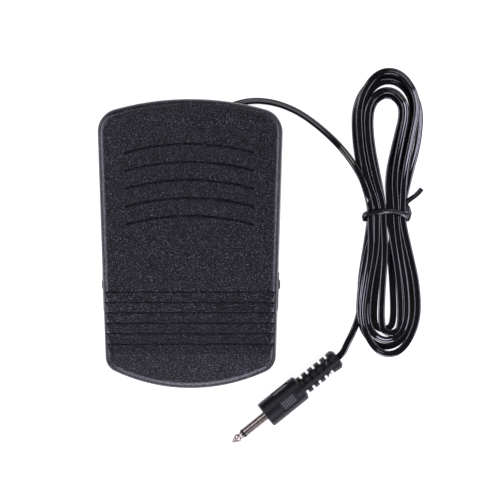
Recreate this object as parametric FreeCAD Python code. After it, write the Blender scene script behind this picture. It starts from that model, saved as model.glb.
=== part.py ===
"""Foot pedal of a small sewing machine: sprung cover, base with a snap-action switch, twin cord, jack plug.

Millimetres. The origin is the middle of the footprint on the floor, +Y points to the toe end and +Z up.
"""
import FreeCAD, Part
import math
import os

V = FreeCAD.Vector
UP = V(0, 0, 1)
NEAR = 0.01

# Plan of the cover, measured at the reference height of its drafted walls
COVER_LENGTH = 108.8
HALF_LENGTH = COVER_LENGTH / 2
TOE_HALF_WIDTH = 35.25
HEEL_HALF_WIDTH = 31.8
PLAN_Z = 8.0
TOE_ARC_R = 105.0
HEEL_ARC_R = 66.7
TOE_CORNER_R = 8.5
HEEL_CORNER_R = 6.0
DRAFT_DEG = 2.0
TAN_DRAFT = math.tan(math.radians(DRAFT_DEG))
BLOCK_TOP = 40.0
CUT_FAR = 60.0
CUT_PAST = 10.0
CUT_LOW = -20.0

# Side view of the cover
TOP_TOE_Z = 27.0
TOP_HEEL_Z = 19.4
CROWN = 0.8
SKIRT_TOE_Z = 11.5
SKIRT_HEEL_Z = 4.0
EDGE_ROUND = 2.5
INNER_ROUND = 0.8
WALL = 2.0
ROOF = 2.2
ROOF_SINK = 0.6
RIB_X = 13.0
RIB_T = 1.2
RIB_DEPTH = 2.6
RIB_SHORT = 16.2
RIB_REACH = HALF_LENGTH - RIB_SHORT

# Tread of the cover
GROOVE_YS = [37.0, 30.35, 23.7, 17.05, 10.4]
GROOVE_CHORD = 47.6
GROOVE_ARC_R = 88.2
GROOVE_WIDTH = 0.9
GROOVE_SINK = 0.6
GROOVE_CLEAR = 1.5
TREAD_YS = [-17.66, -21.55, -25.4, -29.3, -33.2, -37.1]
TREAD_LAST_RUN = 3.9
TREAD_DEPTH = 0.4
TREAD_LINE_WIDTH = 0.55
TREAD_LINE_DEPTH = 0.9

# Hinge
PIVOT_Y = -15.3
PIVOT_Z = 10.0
TILT_DEG = 4.0
STUD_R = 2.0
STUD_FIT = 0.07
STUD_SHOWS = 0.5
STUD_CHAMFER = 0.5
EAR_LENGTH = 14.2
EAR_Y = -17.8
EAR_PROUD = 0.25
EAR_BOTTOM_Z = 4.5
EAR_TOP_Z = 17.0
SIDE_SLOT_WIDTH = 1.2
SIDE_SLOT_OFFSET = 6.0
SIDE_SLOT_FOOT_Z = 5.5

# Base
FOOT_STAND = 1.2
FLOOR = 1.8
BASE_GAP = 1.0
BASE_WALL = 2.0
BASE_RIM_TOE_Z = 17.6
BASE_RIM_HEEL_Z = 15.4
STOP_GAP = 0.3
STOP_R = 2.5
POST_SINK = 0.5
REST_POST_X = 16.0
REST_POST_IN = 10.7
REST_POST_Y = REST_POST_IN - HALF_LENGTH
DOWN_POST_X = 20.0
DOWN_POST_IN = 11.2
DOWN_POST_Y = HALF_LENGTH - DOWN_POST_IN
FOOT_R = 5.0
FOOT_SINK = 0.8
FOOT_CHAMFER = 0.4
TOE_FOOT_IN = 10.1
HEEL_FOOT_IN = 8.15
FOOT_END_IN = 13.2
TOE_FOOT_X = TOE_HALF_WIDTH - TOE_FOOT_IN
HEEL_FOOT_X = HEEL_HALF_WIDTH - HEEL_FOOT_IN
FOOT_Y = HALF_LENGTH - FOOT_END_IN
FOOT_SPOTS = [(-TOE_FOOT_X, FOOT_Y), (TOE_FOOT_X, FOOT_Y), (-HEEL_FOOT_X, -FOOT_Y), (HEEL_FOOT_X, -FOOT_Y)]
POCKET_GAP = 0.15

# Return spring
SPRING_IN = 34.2
SPRING_Y = HALF_LENGTH - SPRING_IN
SPRING_MEAN_R = 4.1
SPRING_WIRE_R = 0.45
SPRING_TURNS = 6
END_TRIM = 0.02
SPIGOT_R = 2.9
SPIGOT_H = 5.0
TOP_SPIGOT_H = 3.0
SEAT_R = 5.6
SEAT_Z = 19.6
SEAT_GAP = 0.3

# Snap-action switch, its case along X
SWITCH_Y = 3.0
SWITCH_Z = 7.9
CASE_L = 12.8
CASE_H = 6.5
CASE_T = 5.8
LID_T = 1.0
SCREW_PITCH = 6.5
SCREW_UP = 1.9
SWITCH_SCREW_R = 0.75
SWITCH_HOLE_R = 1.05
SWITCH_HEAD_R = 1.5
SWITCH_HEAD_H = 0.9
BRACKET_T = 2.5
BRACKET_L = 17.0
LEVER_PIN_X = -5.6
LEVER_PIN_UP = 1.15
LEVER_PIN_R = 0.5
LEVER_EYE_R = 0.85
LEVER_FIT = 0.06
LEVER_W = 3.4
LEVER_T = 0.35
LEVER_END_R = 1.5
LEVER_REACH = 14.4
LEVER_REST_DEG = 6.5
BUTTON_X = -1.4
BUTTON_L = 1.4
BUTTON_W = 2.8
BUTTON_DEPTH = 2.2
BUTTON_GAP = 0.1
BUTTON_ROUND = 0.3
WELL_SPARE = 1.0
CASE_ROUND = 0.4
EAR_GAP = 0.15
EAR_T = 0.8
EAR_HALF = 0.9
SLIDE_GAP = 0.12
PRESS_X = 6.3
PRESS_R = 1.5
PRESS_ROUND = 1.05
TERMINAL_XS = [-5.0, 0.0, 5.0]
TERMINAL_W = 2.0
TERMINAL_T = 0.5
TERMINAL_L = 3.9
TERMINAL_ROOT = 0.8
TERMINAL_ROUND = 0.8

# Cord, drawn as one round tube of the flat twin cord's width
CORD_D = 2.6
CORD_R = CORD_D / 2
CORD_SIDES = 8
WIRE_SIDES = 6
CORE_R = 0.55
EXIT_X = 9.4
EXIT_IN = 3.9
EXIT_Z = 4.6
EXIT = V(EXIT_X, HALF_LENGTH - EXIT_IN, EXIT_Z)
EXIT_DEG = 50.0
CORD_HOLE_R = 1.45
CORD_HOLE_REACH = 8.0
END_RUN = 3.6
PLUG_END_RUN = 4.4
CLAMP_IN = 14.3
CLAMP_Y = EXIT.y - CLAMP_IN
INNER_BEND = (1.9, 6.3)
INNER_BEFORE = 1.4
INNER_PAST = 5.0
INNER_ROUTE = [
    V(INNER_BEND[0], EXIT.y - INNER_BEND[1], EXIT.z),
    V(0, CLAMP_Y + INNER_BEFORE, EXIT.z),
    V(0, CLAMP_Y - INNER_PAST, EXIT.z),
]
CLAMP_POST_X = 6.5
CLAMP_POST_R = 3.0
CLAMP_W = 7.0
CLAMP_T = 2.2
CLAMP_CORNER_R = 3.2
CLAMP_HOLE_R = 1.2
CLAMP_SCREW_R = 0.9
CLAMP_HEAD_R = 2.0
CLAMP_HEAD_H = 1.3
SCREW_END_GAP = 0.2
HEAD_ROUND = 0.45
RECESS_LONG = 0.55
RECESS_WIDE = 0.14
RECESS_FOOT = 0.45
CORE_SPREAD = 0.62
CORE_FAN = (5.2, 11.4)
CORE_BY_SPRING = (8.0, 2.4)
CORE_BY_SWITCH = (6.4, 7.6)
CORE_LOW_Z = 4.4
CORE_HIGH_Z = 4.9
CORE_ROUTE = [
    V(CORE_FAN[0], CLAMP_Y - CORE_FAN[1], CORE_LOW_Z),
    V(CORE_BY_SPRING[0], SPRING_Y - CORE_BY_SPRING[1], CORE_LOW_Z),
    V(CORE_BY_SWITCH[0], SWITCH_Y + CORE_BY_SWITCH[1], CORE_HIGH_Z),
]
CORE_END_RUN = 2.4
SOLDER_R = 0.95
SOLDER_L = 1.0
SOLDER_END_R = 0.7

# Lead from the pedal to the hank, on the floor but for its two ends
LEAD_START = [(14.6, 4.36, 3.9), (20.2, 5.1, 1.9), (27.2, 4.2, 1.3)]
LEAD_IN = [V(x, EXIT.y + past, z) for x, past, z in LEAD_START] + [
    V(34.6, 53.0, 1.3),
    V(42.0, 49.6, 1.3),
    V(49.2, 44.7, 1.3),
    V(55.9, 38.9, 1.6),
    V(61.0, 32.6, 3.4),
    V(64.8, 26.6, 5.3),
    V(66.6, 21.4, 5.6),
]
# Lead from the hank to the plug
LEAD_OUT = [
    V(65.9, 0.2, 2.0),
    V(64.0, -6.6, 1.4),
    V(62.6, -14.6, 1.3),
    V(62.1, -22.4, 1.3),
    V(61.2, -29.6, 1.3),
    V(60.4, -35.8, 2.0),
]

# Hank of loops, tied at its waist
HANK_X = 74.6
HANK_Y = 11.9
HANK_TILT_DEG = -1.0
HANK_LOOPS = 5
CAP_CENTRE = 41.3
CAP_OUTER = 12.6
CAP_STEP = 3.1
WAIST_PITCH = 3.1
WAIST_HALF = 3.0
LAYER_RISE = 3.1
TIE_T = 0.8
TIE_W = 1.9
TIE_GAP = 0.3
TIE_TAIL_R = 10.0
TIE_TAIL_DEG = 75.0
TIE_BEND_R = 1.2
KNOT_L = 3.2
KNOT_R = 1.18
KNOT_LEVEL = 0.55
KNOT_RINGS = 7
KNOT_SPIN_DEG = 45.0

# Plug, along its axis from the tip
PLUG_TIP_X = 15.6
PLUG_TIP_Y = -75.4
PLUG_DEG = 38.5
JACK_R = 1.75
TIP_L = 5.0
RING_L = 0.8
SLEEVE_L = 10.4
TUBE_WALL = 0.6
SHANK_R = 1.5
TIP_NECK_R = 1.1
TIP_END_R = 1.45
ROD_R = 0.65
LINER_GAP = 0.05
SLEEVE_IN = 7.0
LINER_SPARE = 1.0
ROD_SPARE = 2.0
BODY_R = 5.2
BODY_L = 17.4
BODY_FRONT_BEVEL = 0.45
BODY_REAR_BEVEL = 0.6
RELIEF_R = 3.85
RELIEF_CORE_R = 2.5
RELIEF_RINGS = 5
RELIEF_PITCH = 3.0
RELIEF_SLOT = 1.15
RELIEF_FIRST = 0.3
RELIEF_STAGGER = 1.25
RELIEF_WEB = 1.4
COLLAR_L = 2.9
COLLAR_R = 4.0
COLLAR_BEVEL = 0.9
GRIP_L = 7.6
GRIP_W = 4.2
GRIP_BACK = 1.5
GRIP_CORNER_R = 1.2
GRIP_DEPTH = 0.75
GRIP_RIBS = 6
GRIP_RIB_PITCH = 0.95
GRIP_RIB_T = 0.9
GRIP_RIB_H = 0.22
GRIP_RIB_END = 0.4
PLUG_ROLL_DEG = 15.0


def box(x0, x1, y0, y1, z0, z1):
    return Part.makeBox(x1 - x0, y1 - y0, z1 - z0, V(x0, y0, z0))


def rod(radius, start, axis, length):
    return Part.makeCylinder(radius, length, start, axis)


def fuse(shapes):
    joined = shapes[0].fuse(shapes[1:])
    return joined.removeSplitter()


def save(name, solids):
    """Write one or more separate solids as one sub-part."""
    shape = solids[0] if len(solids) == 1 else Part.makeCompound(solids)
    shape.exportStep(os.path.join("parts", name + ".step"))
    print(name, len(shape.Solids), "solids", round(shape.Volume, 1), "mm3", shape.isValid())


# Drafted bodies of cover and base

def plan_wire(inset, z):
    """Sharp-cornered plan outline at height z: two straight sides between the toe arc and the heel arc."""
    shrink = inset + (z - PLAN_Z) * TAN_DRAFT
    toe_r = TOE_ARC_R - shrink
    heel_r = HEEL_ARC_R - shrink
    toe_centre = HALF_LENGTH - TOE_ARC_R
    heel_centre = HEEL_ARC_R - HALF_LENGTH
    slope = (TOE_HALF_WIDTH - HEEL_HALF_WIDTH) / COVER_LENGTH
    side = (TOE_HALF_WIDTH + HEEL_HALF_WIDTH) / 2 - shrink * math.hypot(1, slope)

    def on_arc(centre, radius, sense):
        # Where x = side + slope*y meets the arc y = centre + sense*sqrt(r^2 - x^2)
        a = 1 + slope * slope
        b = 2 * (side * slope - centre)
        c = side * side + centre * centre - radius * radius
        y = (-b + sense * math.sqrt(b * b - 4 * a * c)) / (2 * a)
        return side + slope * y, y

    toe_x, toe_y = on_arc(toe_centre, toe_r, 1)
    heel_x, heel_y = on_arc(heel_centre, heel_r, -1)
    toe_right = V(toe_x, toe_y, z)
    toe_left = V(-toe_x, toe_y, z)
    heel_right = V(heel_x, heel_y, z)
    heel_left = V(-heel_x, heel_y, z)
    return Part.Wire([
        Part.makeLine(heel_right, toe_right),
        Part.Arc(toe_right, V(0, toe_centre + toe_r, z), toe_left).toShape(),
        Part.makeLine(toe_left, heel_left),
        Part.Arc(heel_left, V(0, heel_centre - heel_r, z), heel_right).toShape(),
    ])


def top_arc(drop):
    """End, middle and end of the crowned top line in the side view, lowered by drop."""
    reach = HALF_LENGTH + CUT_PAST
    slope = (TOP_TOE_Z - TOP_HEEL_Z) / COVER_LENGTH
    middle = (TOP_TOE_Z + TOP_HEEL_Z) / 2 + CROWN - drop
    fall = CROWN * (reach / HALF_LENGTH) ** 2
    toe = V(0, reach, middle + slope * reach - fall)
    heel = V(0, -reach, middle - slope * reach - fall)
    return heel, V(0, 0, middle), toe


def top_z(y, drop=0.0):
    """Height of the top line over y, by the same circle as top_arc."""
    heel, middle, toe = top_arc(drop)
    circle = Part.Circle(heel, middle, toe)
    away = y - circle.Center.y
    return circle.Center.z + math.sqrt(circle.Radius ** 2 - away ** 2)


def side_prism(points):
    """Solid of a side view polygon, given as y and z pairs, across the whole width."""
    outline = [V(-CUT_FAR, y, z) for y, z in points]
    face = Part.Face(Part.makePolygon(outline + outline[:1]))
    return face.extrude(V(2 * CUT_FAR, 0, 0))


def side_x(y, z):
    """Half the cover's width at a place along it and a height."""
    slope = (TOE_HALF_WIDTH - HEEL_HALF_WIDTH) / COVER_LENGTH
    return (TOE_HALF_WIDTH + HEEL_HALF_WIDTH) / 2 + slope * y - (z - PLAN_Z) * TAN_DRAFT


def under_top(drop):
    """Everything below the crowned top line lowered by drop."""
    heel, middle, toe = top_arc(drop)
    left = V(-CUT_FAR, 0, 0)
    ends = [toe + left, V(-CUT_FAR, toe.y, CUT_LOW), V(-CUT_FAR, heel.y, CUT_LOW), heel + left]
    edges = [Part.Arc(heel + left, middle + left, toe + left).toShape()]
    edges += [Part.makeLine(a, b) for a, b in zip(ends, ends[1:])]
    return Part.Face(Part.Wire(edges)).extrude(V(2 * CUT_FAR, 0, 0))


def drafted_block(inset, low, high, toe_corner, heel_corner):
    """Drafted prism with rounded upright edges."""
    block = Part.makeLoft([plan_wire(inset, low), plan_wire(inset, high)], True, True)
    for at_toe, radius in ((True, toe_corner), (False, heel_corner)):
        upright = []
        for edge in block.Edges:
            middle = edge.valueAt((edge.FirstParameter + edge.LastParameter) / 2)
            tall = abs(edge.Vertexes[0].Z - edge.Vertexes[-1].Z) > (high - low) / 2
            if tall and (middle.y > 0) == at_toe:
                upright.append(edge)
        block = block.makeFillet(radius, upright)
    return block


def crowned_block(inset, drop, low, edge_round):
    """Drafted block under the crowned top, with its top edge rounded."""
    block = drafted_block(inset, low, BLOCK_TOP, TOE_CORNER_R - inset, HEEL_CORNER_R - inset)
    block = block.common(under_top(drop)).removeSplitter()
    rim = []
    for edge in block.Edges:
        points = [edge.valueAt(edge.FirstParameter + f * (edge.LastParameter - edge.FirstParameter))
                  for f in (0.0, 0.5, 1.0)]
        if all(abs(p.z - top_z(p.y, drop)) < 0.02 for p in points):
            rim.append(edge)
    return block.makeFillet(edge_round, rim)


# Cover

def arc_grooves():
    """Grooves with upright walls and a round floor, laid on the top surface, with round ends."""
    half_angle = math.degrees(math.asin(GROOVE_CHORD / 2 / GROOVE_ARC_R))
    cutters = []
    for y in GROOVE_YS:
        step = 0.5
        pitch = math.degrees(math.atan2(top_z(y + step) - top_z(y - step), 2 * step))
        corners = [V(GROOVE_ARC_R + a, 0, b) for a, b in (
            (GROOVE_WIDTH / 2, 0), (GROOVE_WIDTH / 2, GROOVE_CLEAR), (-GROOVE_WIDTH / 2, GROOVE_CLEAR),
            (-GROOVE_WIDTH / 2, 0))]
        floor = Part.Arc(corners[3], V(GROOVE_ARC_R, 0, -GROOVE_WIDTH / 2), corners[0]).toShape()
        walls = [Part.makeLine(a, b) for a, b in zip(corners, corners[1:])]
        start = Part.Face(Part.Wire([floor] + walls))
        bar = start.revolve(V(0, 0, 0), UP, 2 * half_angle)
        bar.rotate(V(0, 0, 0), UP, 90 - half_angle)
        ends = []
        for side in (-1, 1):
            turn = math.radians(90 + side * half_angle)
            at = V(GROOVE_ARC_R * math.cos(turn), GROOVE_ARC_R * math.sin(turn), 0)
            ends.append(Part.makeSphere(GROOVE_WIDTH / 2, at))
            ends.append(rod(GROOVE_WIDTH / 2, at, UP, GROOVE_CLEAR))
        bar = bar.fuse(ends)
        bar.translate(V(0, -GROOVE_ARC_R, 0))
        bar.rotate(V(0, 0, 0), V(1, 0, 0), pitch)
        bar.translate(V(0, y, top_z(y) - GROOVE_SINK))
        cutters.append(bar)
    return cutters


def tread_cutter():
    """Saw-tooth steps across the whole width: each drops at its line, in a narrow slit, and rises to the next."""
    lines = TREAD_YS + [TREAD_YS[-1] - TREAD_LAST_RUN]
    above = top_z(lines[0]) + CUT_PAST
    points = [(lines[0], above)]
    for y, following in zip(lines, lines[1:]):
        slit_end = y - TREAD_LINE_WIDTH
        points.append((y, top_z(y) - TREAD_LINE_DEPTH))
        points.append((slit_end, top_z(slit_end) - TREAD_LINE_DEPTH))
        points.append((slit_end, top_z(slit_end) - TREAD_DEPTH))
        points.append((following, top_z(following)))
    points.append((lines[-1], above))
    return side_prism(points)


def skirt_cutter():
    """Everything below the sloping bottom edge of the skirt."""
    slope = (SKIRT_TOE_Z - SKIRT_HEEL_Z) / COVER_LENGTH
    reach = HALF_LENGTH + CUT_PAST
    middle = (SKIRT_TOE_Z + SKIRT_HEEL_Z) / 2
    toe = (reach, middle + slope * reach)
    heel = (-reach, middle - slope * reach)
    return side_prism([heel, toe, (reach, CUT_LOW), (-reach, CUT_LOW)])


def press_tip_z():
    """Lowest point of the cover's presser, a stop gap above the resting lever."""
    arm = PRESS_X - LEVER_PIN_X
    rise = math.radians(LEVER_REST_DEG)
    lever_top = lever_pin_z() + (arm + PRESS_R / 2) * math.tan(rise) + LEVER_EYE_R / math.cos(rise)
    return lever_top + STOP_GAP


def top_cover():
    outer = crowned_block(0.0, 0.0, CUT_LOW / 2, EDGE_ROUND)
    hollow = crowned_block(WALL, ROOF, CUT_LOW, INNER_ROUND)
    ear = drafted_block(-EAR_PROUD, EAR_BOTTOM_Z, EAR_TOP_Z, TOE_CORNER_R, HEEL_CORNER_R)
    ear = ear.common(box(-CUT_FAR, CUT_FAR, EAR_Y - EAR_LENGTH / 2, EAR_Y + EAR_LENGTH / 2, 0, BLOCK_TOP))
    shell = outer.cut(skirt_cutter())
    shell = shell.fuse(ear).cut(hollow)
    roof = under_top(ROOF - ROOF_SINK)
    presser = rod(PRESS_R, V(PRESS_X, SWITCH_Y, press_tip_z()), UP, CUT_PAST)
    tip_rim = [edge for edge in presser.Edges if edge.BoundBox.ZMax < press_tip_z() + NEAR]
    presser = presser.makeFillet(PRESS_ROUND, tip_rim)
    bosses = [
        rod(SEAT_R, V(0, SPRING_Y, SEAT_Z), UP, CUT_PAST),
        rod(SPIGOT_R, V(0, SPRING_Y, SEAT_Z - TOP_SPIGOT_H), UP, CUT_PAST),
        presser,
    ]
    rib_foot = under_top(ROOF + RIB_DEPTH)
    for side in (-1, 1):
        middle = side * RIB_X
        rib = box(middle - RIB_T / 2, middle + RIB_T / 2, -RIB_REACH, RIB_REACH, 0, BLOCK_TOP)
        bosses.append(rib.cut(rib_foot))
    shell = fuse([shell] + [boss.common(roof) for boss in bosses])
    shell = shell.cut(tread_cutter())
    shell = shell.cut(arc_grooves())
    hole = rod(STUD_R + STUD_FIT, V(-CUT_FAR, PIVOT_Y, PIVOT_Z), V(1, 0, 0), 2 * CUT_FAR)
    shell = shell.cut(hole)
    return shell


# Base

def tilted_down_z(y, drop):
    """Lowest height over y that the roof's inside reaches when the toe is pressed right down."""
    turn = math.radians(TILT_DEG)
    heights = []
    for step in range(-8, 9):
        near = y + step * 0.5
        away = near - PIVOT_Y
        rise = top_z(near, drop) - PIVOT_Z
        heights.append(PIVOT_Z + rise * math.cos(turn) - away * math.sin(turn))
    return min(heights)


def exit_direction():
    turn = math.radians(EXIT_DEG)
    return V(math.sin(turn), math.cos(turn), 0)


def base_shell():
    floor_z = FOOT_STAND + FLOOR
    inset = WALL + BASE_GAP
    rim_slope = (BASE_RIM_TOE_Z - BASE_RIM_HEEL_Z) / COVER_LENGTH
    rim_middle = (BASE_RIM_TOE_Z + BASE_RIM_HEEL_Z) / 2
    reach = HALF_LENGTH + CUT_PAST
    over_rim = side_prism([(-reach, rim_middle - rim_slope * reach), (reach, rim_middle + rim_slope * reach),
                           (reach, CUT_FAR), (-reach, CUT_FAR)])
    outer = drafted_block(inset, FOOT_STAND, BLOCK_TOP, TOE_CORNER_R - inset, HEEL_CORNER_R - inset)
    inset += BASE_WALL
    inner = drafted_block(inset, floor_z, BLOCK_TOP, TOE_CORNER_R - inset, HEEL_CORNER_R - inset)
    tray = outer.cut(inner).cut(over_rim)

    def post(radius, x, y, top):
        foot = floor_z - POST_SINK
        return rod(radius, V(x, y, foot), UP, top - foot)

    rest_top = min(top_z(REST_POST_Y - STOP_R, ROOF), top_z(REST_POST_Y + STOP_R, ROOF)) - STOP_GAP
    down_top = tilted_down_z(DOWN_POST_Y, ROOF) - STOP_GAP
    bracket_y = SWITCH_Y - CASE_T / 2
    adds = [
        post(SPIGOT_R, 0, SPRING_Y, floor_z + SPIGOT_H),
        box(-BRACKET_L / 2, BRACKET_L / 2, bracket_y - BRACKET_T, bracket_y, floor_z - POST_SINK,
            SWITCH_Z + CASE_H),
    ]
    stud_foot = side_x(PIVOT_Y, PIVOT_Z) - WALL - BASE_GAP - BASE_WALL / 2
    stud_tip = side_x(PIVOT_Y, PIVOT_Z) + EAR_PROUD + STUD_SHOWS
    for side in (-1, 1):
        adds.append(post(STOP_R, side * REST_POST_X, REST_POST_Y, rest_top))
        adds.append(post(STOP_R, side * DOWN_POST_X, DOWN_POST_Y, down_top))
        adds.append(post(CLAMP_POST_R, side * CLAMP_POST_X, CLAMP_Y, EXIT.z + CORD_R))
        stud = rod(STUD_R, V(side * stud_foot, PIVOT_Y, PIVOT_Z), V(side, 0, 0), stud_tip - stud_foot)
        rim = [edge for edge in stud.Edges if abs(edge.BoundBox.Center.x) > stud_tip - NEAR]
        adds.append(stud.makeChamfer(STUD_CHAMFER, rim))
    tray = fuse([tray] + adds)

    cuts = []
    for x, y in FOOT_SPOTS:
        cuts.append(rod(FOOT_R + POCKET_GAP, V(x, y, 0), UP, FOOT_STAND + FOOT_SINK))
    way = exit_direction()
    cuts.append(rod(CORD_HOLE_R, EXIT - way * CORD_HOLE_REACH, way, 2 * CORD_HOLE_REACH))
    for side in (-1, 1):
        cuts.append(rod(CLAMP_SCREW_R, V(side * CLAMP_POST_X, CLAMP_Y, floor_z), UP, CUT_PAST))
        screw_at = V(side * SCREW_PITCH / 2, bracket_y + BRACKET_T, SWITCH_Z + SCREW_UP)
        cuts.append(rod(SWITCH_SCREW_R, screw_at, V(0, -1, 0), 3 * BRACKET_T))
    wall_x = side_x(PIVOT_Y, PIVOT_Z) - WALL - BASE_GAP
    for sign in (-1, 1):
        slot_y = PIVOT_Y + sign * SIDE_SLOT_OFFSET
        slot = box(-CUT_FAR, CUT_FAR, slot_y - SIDE_SLOT_WIDTH / 2, slot_y + SIDE_SLOT_WIDTH / 2,
                   SIDE_SLOT_FOOT_Z, BLOCK_TOP)
        middle = wall_x - 2 * BASE_WALL
        cuts.append(slot.cut(box(-middle, middle, -CUT_FAR, CUT_FAR, 0, BLOCK_TOP)))
    return tray.cut(cuts)


def rubber_feet():
    feet = []
    for x, y in FOOT_SPOTS:
        foot = rod(FOOT_R, V(x, y, 0), UP, FOOT_STAND + FOOT_SINK)
        rim = [edge for edge in foot.Edges if edge.BoundBox.ZMax < NEAR]
        feet.append(foot.makeChamfer(FOOT_CHAMFER, rim))
    return feet


def clamp_bar():
    """Flat bar across the cord, screwed down on two posts."""
    low = EXIT.z + CORD_R
    half = CLAMP_POST_X + CLAMP_POST_R
    bar = box(-half, half, CLAMP_Y - CLAMP_W / 2, CLAMP_Y + CLAMP_W / 2, low, low + CLAMP_T)
    upright = [edge for edge in bar.Edges if edge.BoundBox.ZLength > CLAMP_T - NEAR]
    bar = bar.makeFillet(CLAMP_CORNER_R, upright)
    holes = [rod(CLAMP_HOLE_R, V(side * CLAMP_POST_X, CLAMP_Y, low), UP, CLAMP_T) for side in (-1, 1)]
    return bar.cut(holes)


def pan_screw(radius, head_r, head_h, length, seat, axis):
    """Plain shank under a domed head with a cross recess; seat is the middle of the face under the head."""
    shank = rod(radius, V(0, 0, -length), UP, length)
    head = rod(head_r, V(0, 0, 0), UP, head_h)
    rim = [edge for edge in head.Edges if edge.BoundBox.ZMin > head_h - NEAR]
    head = head.makeFillet(head_h * HEAD_ROUND, rim)
    long_side = head_r * RECESS_LONG
    short_side = head_r * RECESS_WIDE
    foot = head_h * RECESS_FOOT
    arms = [
        box(-long_side, long_side, -short_side, short_side, foot, head_h),
        box(-short_side, short_side, -long_side, long_side, foot, head_h),
    ]
    screw = fuse([shank, head]).cut(arms)
    screw.Placement = FreeCAD.Placement(seat, FreeCAD.Rotation(UP, axis))
    return screw


# Tubes along a route

def corner_radius(before, at, after, share=0.45):
    run_in = (at - before).Length
    run_out = (after - at).Length
    turn = (at - before).getAngle(after - at)
    return share * min(run_in, run_out) / math.tan(turn / 2)


def route_edges(points):
    """Straight runs joined by tangent arcs, and the least radius among them."""
    edges = []
    radii = []
    start = points[0]
    for before, at, after in zip(points, points[1:], points[2:]):
        radius = corner_radius(before, at, after)
        radii.append(radius)
        into = (at - before).normalize()
        out = (after - at).normalize()
        back = radius * math.tan(into.getAngle(out) / 2)
        enter = at - into * back
        leave = at + out * back
        inward = (out - into).normalize()
        sag = radius / math.cos(into.getAngle(out) / 2) - radius
        edges.append(Part.LineSegment(start, enter).toShape())
        edges.append(Part.Arc(enter, at + inward * sag, leave).toShape())
        start = leave
    edges.append(Part.LineSegment(start, points[-1]).toShape())
    return edges, radii


def ring_of(centre, tangent, radius, sides):
    """Even-sided section, its flats facing straight up and down where the cord lies level."""
    across = tangent.cross(UP).normalize()
    rise = across.cross(tangent).normalize()
    corners = []
    for i in range(sides):
        turn = math.radians(360 / sides * (i + 0.5))
        corners.append(centre + across * (radius * math.cos(turn)) + rise * (radius * math.sin(turn)))
    return Part.makePolygon(corners + corners[:1])


def tube(name, edges, radius, sides=CORD_SIDES):
    """Sweep a section along joined edges and print how its volume fits its length."""
    path = Part.Wire(edges)
    first = edges[0]
    start = first.valueAt(first.FirstParameter)
    tangent = first.tangentAt(first.FirstParameter)
    ring = ring_of(start, tangent, radius, sides)
    solid = path.makePipeShell([ring], True, False)
    if solid.ShapeType != "Solid":
        solid = solid.Solids[0]
    area = Part.Face(ring).Area
    length = sum(edge.Length for edge in edges)
    print(name, "length", round(length, 1), "volume over section x length",
          round(solid.Volume / (area * length), 4))
    return solid


def routed_tube(name, points, radius, sides=CORD_SIDES):
    edges, radii = route_edges(points)
    print(name, "bend radii", [round(r, 1) for r in radii], "runs",
          [round((b - a).Length, 1) for a, b in zip(points, points[1:])])
    return tube(name, edges, radius, sides)


# Hank

def biarc(p0, t0, p1, t1):
    """Two arcs, tangent where they meet, from p0 along t0 to p1 along t1."""
    gap = p1 - p0
    both = t0 + t1
    a = 2 * (1 - t0.dot(t1))
    b = 2 * gap.dot(both)
    c = -gap.dot(gap)
    if abs(a) < 1e-9:
        reach = -c / b
    else:
        reach = (-b + math.sqrt(b * b - 4 * a * c)) / (2 * a)
    q0 = p0 + t0 * reach
    q1 = p1 - t1 * reach
    joint = (q0 + q1) * 0.5
    return [bent_edge(p0, q0, joint), bent_edge(joint, q1, p1)]


def bent_edge(start, corner, end):
    """Arc from start to end whose end tangents meet at corner."""
    into = (corner - start).normalize()
    out = (end - corner).normalize()
    turn = into.getAngle(out)
    if turn < 1e-5:
        return Part.LineSegment(start, end).toShape()
    reach = ((corner - start).Length + (end - corner).Length) / 2
    radius = reach / math.tan(turn / 2)
    sag = radius / math.cos(turn / 2) - radius
    inward = (out - into).normalize()
    return Part.Arc(start, corner + inward * sag, end).toShape()


def hank_nodes():
    """Points and directions of the hank's route in its own frame, from the waist where the lead comes in.

    The loops spiral inward on the upper layer and outward again on the lower one. Each half turn is one cap
    and one run through the waist. The climb between the layers is on the run where the spiral turns back.
    """
    lower = CORD_R * math.cos(math.pi / CORD_SIDES)
    upper = lower + LAYER_RISE
    waist_up = TIE_T + TIE_GAP
    half_turns = 2 * HANK_LOOPS
    inward = HANK_LOOPS
    outer_rank = HANK_LOOPS // 2
    nodes = []

    def place(side, rank, y, z, heading):
        # Rank 0 is the innermost strand; at the waist each strand keeps its rank
        if abs(y) < CAP_CENTRE - 1:
            x = WAIST_PITCH * (0.5 + rank)
        else:
            x = cap_x(side, rank)
        nodes.append((V(side * x, y, z), V(0, heading, 0)))

    def cap_x(side, rank):
        # Steady spiral: half a step between one side and the other
        outer = CAP_OUTER if side < 0 else CAP_OUTER - CAP_STEP / 2
        return outer - CAP_STEP * (outer_rank - rank)

    for i in range(half_turns + 1):
        side = -1 if i % 2 == 0 else 1
        rank = abs(i - inward) // 2
        going = side
        before = upper if i <= inward else lower
        after = upper if i < inward else lower
        middle = (before + after) / 2
        if i > 0:
            place(side, rank, -going * CAP_CENTRE, before, going)
        place(side, rank, -going * WAIST_HALF, middle + waist_up, going)
        place(side, rank, going * WAIST_HALF, middle + waist_up, going)
        if i < half_turns:
            place(side, rank, going * CAP_CENTRE, after, going)
    return nodes


def hank_place(point):
    turn = math.radians(HANK_TILT_DEG)
    x = point.x * math.cos(turn) - point.y * math.sin(turn)
    y = point.x * math.sin(turn) + point.y * math.cos(turn)
    return V(x + HANK_X, y + HANK_Y, point.z)


def hank_turn(direction):
    return hank_place(direction) - hank_place(V(0, 0, 0))


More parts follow.
